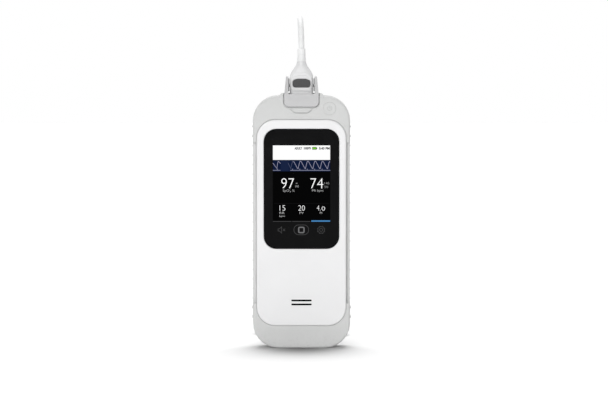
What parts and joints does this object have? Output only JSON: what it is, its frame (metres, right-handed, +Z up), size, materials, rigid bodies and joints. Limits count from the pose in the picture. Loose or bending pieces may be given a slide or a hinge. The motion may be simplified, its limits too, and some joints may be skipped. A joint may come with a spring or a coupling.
{
  "type": "handheld pulse oximeter",
  "caption": "Upright handheld pulse oximeter in a ribbed grey boot, with a display, a power key, a locking plug and a coiled lead to a finger sensor.",
  "frame": {"origin": "middle of the boot's flat base, where the device stands", "axes": "+X to the device's right as its display is read, +Y to its back, +Z up"},
  "size_m": [0.0747, 0.1345, 0.249],
  "materials": {
    "boot_silicone": "matte grey silicone",
    "case_white": "satin white",
    "seal_black": "matte",
    "cover_black": "gloss black, clear over the display",
    "display_dark": "lit display",
    "board_green": "solder mask",
    "flex_amber": "polyimide film",
    "black_plastic": "moulded",
    "tin_steel": "tinned",
    "battery_wrap": "shrink wrap",
    "foam_grey": "foam",
    "gold": "gold plated",
    "bail_grey": "satin grey",
    "thumb_grey": "matte dark grey",
    "cord_white": "matte white",
    "lens_clear": "clear lens"
  },
  "bodies": {
    "body": {"protective_boot": "boot_silicone", "front_housing": "case_white", "rear_housing": "case_white", "housing_seal": "seal_black", "cover_glass": "cover_black", "glass_gasket": "seal_black", "display_module": "display_dark", "touch_key_board": "board_green", "display_flex_cable": "flex_amber", "main_circuit_board": "board_green", "board_connector": "black_plastic", "sensor_module_board": "board_green", "shield_can": "tin_steel", "battery_pack": "battery_wrap", "battery_pad": "foam_grey", "speaker": "black_plastic", "speaker_mesh": "black_plastic", "speaker_gasket": "foam_grey", "power_switch_board": "board_green", "power_switch": "tin_steel", "cable_socket": "black_plastic", "socket_contacts": "gold", "connector_plug": "case_white", "plug_thumb_pad": "thumb_grey", "plug_contact_blade": "board_green", "strain_relief": "cord_white", "sensor_cable": "cord_white", "cable_coil": "cord_white", "cable_tail": "cord_white", "sensor_strain_relief": "cord_white", "sensor_lower_shell": "case_white", "lower_finger_pad": "boot_silicone", "detector_window": "lens_clear", "sensor_hinge_pin": "tin_steel", "sensor_spring": "tin_steel", "housing_screw_1": "tin_steel", "housing_screw_2": "tin_steel", "housing_screw_3": "tin_steel", "housing_screw_4": "tin_steel", "housing_screw_5": "tin_steel", "housing_screw_6": "tin_steel", "board_screw_1": "tin_steel", "board_screw_2": "tin_steel", "board_screw_3": "tin_steel", "board_screw_4": "tin_steel"},
    "power_key": {"power_button": "boot_silicone"},
    "bail": {"lock_bail": "bail_grey"},
    "sensor_jaw": {"sensor_upper_shell": "case_white", "upper_finger_pad": "boot_silicone", "emitter_window": "lens_clear"}
  },
  "joints": [
    {"name": "power_key_press", "type": "slide", "parent": "body", "child": "power_key", "axis": [0, 1, 0], "range_m": [0, 0.0008], "stiffness_N_per_m": 900},
    {"name": "bail_swing", "type": "hinge", "parent": "body", "child": "bail", "pos_m": [0, 0, 0.1974], "axis": [-1, 0, 0], "range_deg": [0, 85]},
    {"name": "sensor_jaw_open", "type": "hinge", "parent": "body", "child": "sensor_jaw", "pos_m": [0, 0.111, 0.01], "axis": [0, 1, 0], "range_deg": [0, 20], "stiffness_Nm_per_rad": 0.05}
  ]
}
